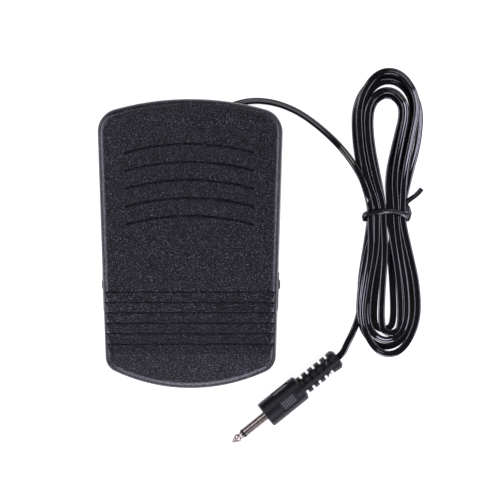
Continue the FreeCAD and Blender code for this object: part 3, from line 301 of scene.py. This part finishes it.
def drawn_line(points):
    """Points along a smooth NURBS line, in metres, from control points in millimetres."""
    curve = bpy.data.curves.new("line", "CURVE")
    curve.dimensions = "3D"
    spline = curve.splines.new("NURBS")
    spline.points.add(len(points) - 1)
    for point, place in zip(spline.points, points):
        point.co = (*(c * MM for c in place), 1.0)
    spline.order_u = SPLINE_ORDER
    spline.use_endpoint_u = True
    spline.resolution_u = SPLINE_STEPS
    holder = bpy.data.objects.new("line", curve)
    bpy.context.scene.collection.objects.link(holder)
    bpy.context.view_layer.update()
    drawn = bpy.data.meshes.new_from_object(holder)
    line = [v.co.copy() for v in drawn.vertices]
    bpy.data.meshes.remove(drawn)
    bpy.data.objects.remove(holder)
    return line


out_runs = [hank_point(-7.6, -14.0, 0.95), hank_point(-9.4, -26.0, 0.95)]
control = [tuple(EXIT)] + LEAD_IN + hank_points() + out_runs + LEAD_OUT
control += [tuple(plug_tail + plug_axis * STRAIGHT_TAIL), tuple(plug_tail)]
cord_path = drawn_line(control)
cord_length = sum((b - a).length for a, b in zip(cord_path, cord_path[1:]))
print("control points", len(control), "points along", len(cord_path), "length", round(cord_length, 4), "m")

# %% [markdown]
# A flat cord never lies quite flat: it rolls a little as it goes, and that makes the light run along it
# in long streaks that come and go. So the flat section turns about the line. It lies flat at the waist,
# where the tie holds it down, leans by 3 to 18 degrees in the loops, most where the strands crowd side
# by side, and by 20 degrees where it leaves the pedal. The section's top is flat, with a shallow groove
# between the conductors, and its rounded edges catch the light as thin lines.

# %% Flat section and its roll
CORD_SECTION = [
    (1.3, 0.0), (1.25, 0.28), (1.08, 0.50), (0.84, 0.62), (0.28, 0.65), (0.0, 0.56), (-0.28, 0.65),
    (-0.84, 0.62), (-1.08, 0.50), (-1.25, 0.28), (-1.3, 0.0), (-1.25, -0.28), (-1.08, -0.50), (-0.84, -0.62),
    (-0.28, -0.65), (0.0, -0.56), (0.28, -0.65), (0.84, -0.62), (1.08, -0.50), (1.25, -0.28),
]
# Degrees: the lean at the start of the lead, anywhere in the loops, and added where the strands crowd
LEAD_LEAN = 20
LOOP_LEAN = 3
CROWD_LEAN = 15
# Degrees of rocking in the leads and added in the hank, then its waves: share, length in mm, start
LEAD_ROCK = 4
HANK_ROCK = 2
WAVES = ((0.6, 23.0, 0.7), (0.4, 13.7, 2.1))
# Where one kind of lean gives way to the next, in mm along the cord or from the waist
LEAD_FADES = (40, 60)
HANK_STARTS = (84, 90)
HANK_STOPS = (1145, 1165)
TIE_LETS_GO = (5, 24)
# The strands crowd where this product of the distances along and aside of the waist, in mm2, is high
CROWDING = (-400, 400)


def smooth_step(low, high, x):
    """0 up to low, 1 from high on, and an easy rise between them."""
    t = min(1.0, max(0.0, (x - low) / (high - low)))
    return t * t * (3 - 2 * t)


def cord_roll(distance, point):
    """Angle of the flat section about its line, from lying flat, at a distance in mm along the cord."""
    wave = sum(share * math.sin(distance / length + start) for share, length, start in WAVES)
    aside = point.x / MM - HANK_X
    along = (point.y / MM - HANK_Y) * math.cos(HANK_TILT) - aside * math.sin(HANK_TILT)
    in_hank = smooth_step(*HANK_STARTS, distance) * (1 - smooth_step(*HANK_STOPS, distance))
    crowded = smooth_step(*CROWDING, along * aside)
    lean = (LOOP_LEAN + CROWD_LEAN * crowded) * smooth_step(*TIE_LETS_GO, abs(along)) * in_hank
    lead = 1 - smooth_step(*LEAD_FADES, distance)
    return math.radians(LEAD_LEAN * lead - lean + (LEAD_ROCK + HANK_ROCK * in_hank) * wave)


def add_tube(bm, path, section, turn, guide):
    """A closed tube: a section, in mm, at each point of a path. Its second axis leans to guide(point), and
    it is turned about the path by turn(distance, point)."""
    rings = []
    gone = 0.0
    for i, point in enumerate(path):
        along = (path[min(i + 1, len(path) - 1)] - path[max(i - 1, 0)]).normalized()
        if i:
            gone += (point - path[i - 1]).length / MM
        across = along.cross(guide(point)).normalized()
        rise = across.cross(along).normalized()
        angle = turn(gone, point)
        first = across * math.cos(angle) + rise * math.sin(angle)
        second = rise * math.cos(angle) - across * math.sin(angle)
        rings.append([bm.verts.new(point + (first * a + second * b) * MM) for a, b in section])
    for near, far in zip(rings, rings[1:]):
        for k in range(len(section)):
            n = (k + 1) % len(section)
            bm.faces.new((near[k], near[n], far[n], far[k])).smooth = True
    bm.faces.new(list(reversed(rings[0])))
    bm.faces.new(rings[-1])


def finished_piece(name, bm, body, replaced):
    """The object of a piece made in bm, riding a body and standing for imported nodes."""
    bmesh.ops.recalc_face_normals(bm, faces=bm.faces)
    mesh = bpy.data.meshes.new(name)
    bm.to_mesh(mesh)
    bm.free()
    piece = bpy.data.objects.new(name, mesh)
    bpy.context.scene.collection.objects.link(piece)
    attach(piece, body)
    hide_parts(*replaced)
    return piece


bm = bmesh.new()
add_tube(bm, cord_path, CORD_SECTION, cord_roll, lambda point: Vector((0, 0, 1)))
cord = finished_piece("twin_cord", bm, "base", ["cord_lead_in", "cord_hank", "cord_lead_out"])

# %% [markdown]
# The tie is a ribbon of plastic with a wire in its middle, the kind that is twisted by hand. One ribbon
# goes round the waist, bowed a little towards the toe on top. Its two ends are twisted together at the
# right, two turns of a double helix, and one of them stands off as a free end. The places come from the
# photograph.

# %% Wire tie
RIBBON = [
    (1.10, 0.07), (0.55, 0.10), (0.36, 0.30), (0.0, 0.42), (-0.36, 0.30), (-0.55, 0.10), (-1.10, 0.07),
    (-1.10, -0.07), (-0.55, -0.10), (-0.36, -0.30), (0.0, -0.42), (0.36, -0.30), (0.55, -0.10),
    (1.10, -0.07),
]
BAND = [
    (8.3, -1.9, 1.5), (7.6, -1.8, 0.5), (4.0, -1.7, 0.42), (-4.0, -1.9, 0.42), (-7.4, -2.2, 0.42),
    (-8.8, -2.3, 0.9), (-9.2, -1.9, 2.3), (-8.9, -1.0, 3.9), (-7.4, -0.1, 4.35), (-4.0, 0.6, 4.3),
    (0.0, 0.8, 4.25), (4.0, 0.4, 4.25), (7.0, -0.5, 4.2), (8.6, -1.3, 3.6), (8.9, -2.0, 2.9),
]
BUNDLE_Z = 2.4
BUNDLE_FLATNESS = 3
# Rocking of the band: degrees, length of a wave in mm and its start, and the heights over which it sets in
BAND_ROCK = 22
BAND_WAVE = 3.4
BAND_START = 0.6
BAND_RISES = (1.0, 3.0)
KNOT_U = 7.9
KNOT_BOW = 1.0
KNOT_Z = 2.5
KNOT_R = 0.62
KNOT_FROM = -2.4
KNOT_TO = 2.5
KNOT_STEPS = 8
KNOT_STEP_DEG = 90
FREE_END = [
    (8.2, 1.2, 2.5), (7.2, 3.0, 2.6), (7.5, 4.4, 2.8), (9.6, 5.9, 3.0), (11.8, 7.6, 3.2), (13.3, 9.6, 3.3),
]
FREE_END_LEAN = 38


def on_hank(places):
    """Places given across, along and above the hank, in the model's frame."""
    return [hank_point(*place) for place in places]


def knot_strand(phase):
    """One of the two strands of the twisted knot, a helix along the hank's own length."""
    places = []
    for k in range(KNOT_STEPS + 1):
        angle = math.radians(phase + KNOT_STEP_DEG * k)
        v = KNOT_FROM + (KNOT_TO - KNOT_FROM) * k / KNOT_STEPS
        bow = KNOT_BOW * math.sin(math.pi * k / KNOT_STEPS)
        places.append((KNOT_U + bow + KNOT_R * math.cos(angle), v, KNOT_Z + KNOT_R * math.sin(angle)))
    return drawn_line(on_hank(places))


def band_guide(point):
    """Away from the middle of the bundle, so the ribbon lies flat on it."""
    return Vector((point.x - HANK_X * MM, 0, (point.z - BUNDLE_Z * MM) * BUNDLE_FLATNESS))


def knot_guide(point):
    """Away from the axis of the knot."""
    return Vector((point.x - (HANK_X + KNOT_U) * MM, 0, point.z - KNOT_Z * MM))


def band_roll(distance, point):
    """The ribbon isn't quite flat on the bundle: it rocks to one side and the other."""
    rock = math.sin(distance / BAND_WAVE + BAND_START)
    return math.radians(BAND_ROCK * rock * smooth_step(*BAND_RISES, point.z / MM))


bm = bmesh.new()
add_tube(bm, drawn_line(on_hank(BAND)), RIBBON, band_roll, band_guide)
for phase in (0, 180):
    add_tube(bm, knot_strand(phase), RIBBON, lambda distance, point: 0.0, knot_guide)
add_tube(bm, drawn_line(on_hank(FREE_END)), RIBBON, lambda distance, point: math.radians(FREE_END_LEAN),
         lambda point: Vector((0, 0, 1)))
tie = finished_piece("wire_tie", bm, "base", ["cord_tie"])

# %% [markdown]
# Most surfaces here follow one recipe. Their gloss isn't quite even, and the same faint pattern that
# varies it also stands out a little as relief, so one function makes them all from the scale and depth
# of that pattern.

# %% One recipe for uneven surfaces
def uneven(name, look, per_metre, detail, roughs, strength, depth_mm):
    """A surface whose gloss and relief vary with one pattern, given by its scale, detail and depth."""
    material, tree = new_material(name)
    place = add_node(tree, "ShaderNodeTexCoord")
    pattern = add_node(tree, "ShaderNodeTexNoise", {"Scale": per_metre, "Detail": detail},
                       {"Vector": place.outputs["Object"]})
    rough = add_node(tree, "ShaderNodeMapRange", {"To Min": roughs[0], "To Max": roughs[1]},
                     {"Value": pattern.outputs["Fac"]})
    bump = add_node(tree, "ShaderNodeBump", {"Strength": strength, "Distance": depth_mm * MM},
                    {"Height": pattern.outputs["Fac"]})
    skin = add_node(tree, "ShaderNodeBsdfPrincipled", look,
                    {"Roughness": rough.outputs[0], "Normal": bump.outputs[0]})
    add_node(tree, "ShaderNodeOutputMaterial", {}, {"Surface": skin.outputs[0]})
    return material


# %% [markdown]
# Flexible PVC of a cord is extruded, and its skin is smooth and wet-looking: black, with a narrow
# bright highlight. A faint unevenness along the cord breaks that highlight up. The tie's coating is the
# same plastic, drawn thinner over its wire, so it is a little rougher.

# %% Extruded PVC
cord_look = {"Base Color": linear("#050507"), "IOR": 1.54, "Coat Weight": 0.3, "Coat Roughness": 0.03}
cord_pvc = uneven("extruded_glossy_pvc", cord_look, 180.0, 2.0, (0.05, 0.10), 0.04, 0.1)
tie_look = {"Base Color": linear("#08080b"), "IOR": 1.50}
tie_pvc = uneven("coated_wire_pvc", tie_look, 250.0, 1.0, (0.18, 0.28), 0.1, 0.1)
cord.data.materials.append(cord_pvc)
tie.data.materials.append(tie_pvc)

# %% [markdown]
# The cover is moulded ABS. Its mould was spark-eroded, which leaves a fine grain of pits, so the
# plastic is black but the light scatters on it as a bluish grey with small bright specks. That light is
# painted into the colour: the grain mixes the black with a pale bluish grey, and these pale specks are
# painted highlights. The real pits are 0.05 mm wide and would vanish at this distance, so the grain is
# drawn seven times as coarse, about 0.36 mm.

# %% Spark-grained ABS
cover_abs, tree = new_material("spark_grained_abs_with_painted_glints")
place = add_node(tree, "ShaderNodeTexCoord")
grain = add_node(tree, "ShaderNodeTexNoise", {"Scale": 2800.0, "Detail": 1.0, "Roughness": 0.5},
                 {"Vector": place.outputs["Object"]})
# Painted highlights: the pale bluish grey specks in this colour stand in for light caught by the grain
grain_and_glint_tone = add_node(tree, "ShaderNodeMix", {"data_type": "RGBA"})
glint_speck_mask = add_node(tree, "ShaderNodeMapRange", {"From Min": 0.59, "From Max": 0.71},
                  {"Value": grain.outputs["Fac"]})
tree.links.new(glint_speck_mask.outputs[0], grain_and_glint_tone.inputs[0])
grain_and_glint_tone.inputs["A"].default_value = linear("#010102")
grain_and_glint_tone.inputs["B"].default_value = linear("#585865")
rough = add_node(tree, "ShaderNodeMapRange", {"To Min": 0.33, "To Max": 0.27},
                 {"Value": glint_speck_mask.outputs[0]})
bump = add_node(tree, "ShaderNodeBump", {"Strength": 0.6, "Distance": 0.00016},
                {"Height": grain.outputs["Fac"]})
skin = add_node(tree, "ShaderNodeBsdfPrincipled", {"IOR": 1.53},
                {"Base Color": grain_and_glint_tone.outputs["Result"], "Roughness": rough.outputs[0],
                 "Normal": bump.outputs[0]})
add_node(tree, "ShaderNodeOutputMaterial", {}, {"Surface": skin.outputs[0]})

# %% [markdown]
# The other plastics are moulded too. Each takes its own colour, its own gloss and the depth and scale
# of its own mould grain, which is drawn coarser than the real one so that it shows. The base under the
# cover is the same ABS without the bright specks, the feet are matt rubber, the switch is a
# glass-filled polyester with a red button, and the plug is satin PVC. The plug's fine grain shades
# itself, which takes away a third of its sheen and leaves it nearly black.

# %% Moulded plastics and rubber
FULL_SHEEN = 0.5


def moulded(name, colour, ior, low_rough, high_rough, grain_mm, depth_mm, sheen=FULL_SHEEN):
    """A moulded plastic or rubber: one colour, a gloss that varies a little, and the grain of its mould."""
    look = {"Base Color": linear(colour), "IOR": ior, "Specular IOR Level": sheen}
    return uneven(name, look, 1 / (grain_mm * MM), 3.0, (low_rough, high_rough), 0.5, depth_mm)


base_abs = moulded("fine_grained_abs", "#131318", 1.53, 0.38, 0.55, 0.4, 0.15)
foot_rubber = moulded("matt_foot_rubber", "#171717", 1.52, 0.68, 0.85, 0.6, 0.15)
switch_black = moulded("glass_filled_polyester", "#141414", 1.57, 0.34, 0.5, 0.5, 0.08)
switch_red = moulded("red_polyester_button", "#9c1c16", 1.57, 0.24, 0.34, 0.8, 0.02)
core_red = moulded("red_core_pvc", "#a3161a", 1.54, 0.22, 0.34, 1.5, 0.03)
core_black = moulded("black_core_pvc", "#0e0e10", 1.54, 0.22, 0.34, 1.5, 0.03)
plug_pvc = moulded("satin_plug_pvc", "#08080b", 1.54, 0.36, 0.42, 0.9, 0.008, 0.34)
ring_black = moulded("black_insulator_plastic", "#060606", 1.54, 0.25, 0.35, 0.5, 0.02)

# %% [markdown]
# The metals get their look from how they were made. The jack is nickel plated brass turned on a lathe,
# a warm grey whose faint tool marks soften the gloss. The switch's lever, its pin and the return spring
# are drawn or rolled steel, the screws are zinc plated, with a faint cloudy gloss, the terminals are
# tinned brass, and the joints on them are solder, which sets smooth and soft-edged.

# %% Metals
def plated(name, colour, low_rough, high_rough, grain_mm, depth_mm):
    """A metal surface: its own colour, and a gloss that varies with the marks of how it was made."""
    look = {"Base Color": linear(colour), "Metallic": 1.0}
    return uneven(name, look, 1 / (grain_mm * MM), 2.0, (low_rough, high_rough), 0.3, depth_mm)


nickel_plate = plated("turned_nickel_plate", "#aaa099", 0.20, 0.30, 0.8, 0.01)
bright_steel = plated("rolled_bright_steel", "#c2c2c4", 0.22, 0.36, 0.5, 0.02)
zinc_steel = plated("zinc_plated_steel", "#c4c6c2", 0.28, 0.42, 0.7, 0.03)
tinned_brass = plated("tinned_brass", "#c8bf9e", 0.26, 0.40, 0.6, 0.02)
solder = plated("set_solder", "#bcbcba", 0.20, 0.38, 0.9, 0.05)

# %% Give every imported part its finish
FINISHES = {
    "top_cover": cover_abs, "base_shell": base_abs, "clamp_bar": base_abs, "rubber_feet": foot_rubber,
    "switch_case": switch_black, "switch_lid": switch_black, "switch_button": switch_red,
    "switch_lever": bright_steel, "lever_pin": bright_steel, "return_spring": bright_steel,
    "switch_terminals": tinned_brass, "switch_screws": zinc_steel, "clamp_screws": zinc_steel,
    "solder_joints": solder, "core_left": core_red, "core_right": core_black, "cord_inner": cord_pvc,
    "plug_tip": nickel_plate, "plug_sleeve": nickel_plate, "plug_insulator": ring_black,
    "plug_moulding": plug_pvc,
}
for name, material in FINISHES.items():
    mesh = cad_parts[name].data
    mesh.materials.clear()
    mesh.materials.append(material)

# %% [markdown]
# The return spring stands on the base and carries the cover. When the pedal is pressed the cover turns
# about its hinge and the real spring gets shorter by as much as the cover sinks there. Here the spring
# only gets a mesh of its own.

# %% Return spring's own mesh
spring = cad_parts["return_spring"]
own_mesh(spring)
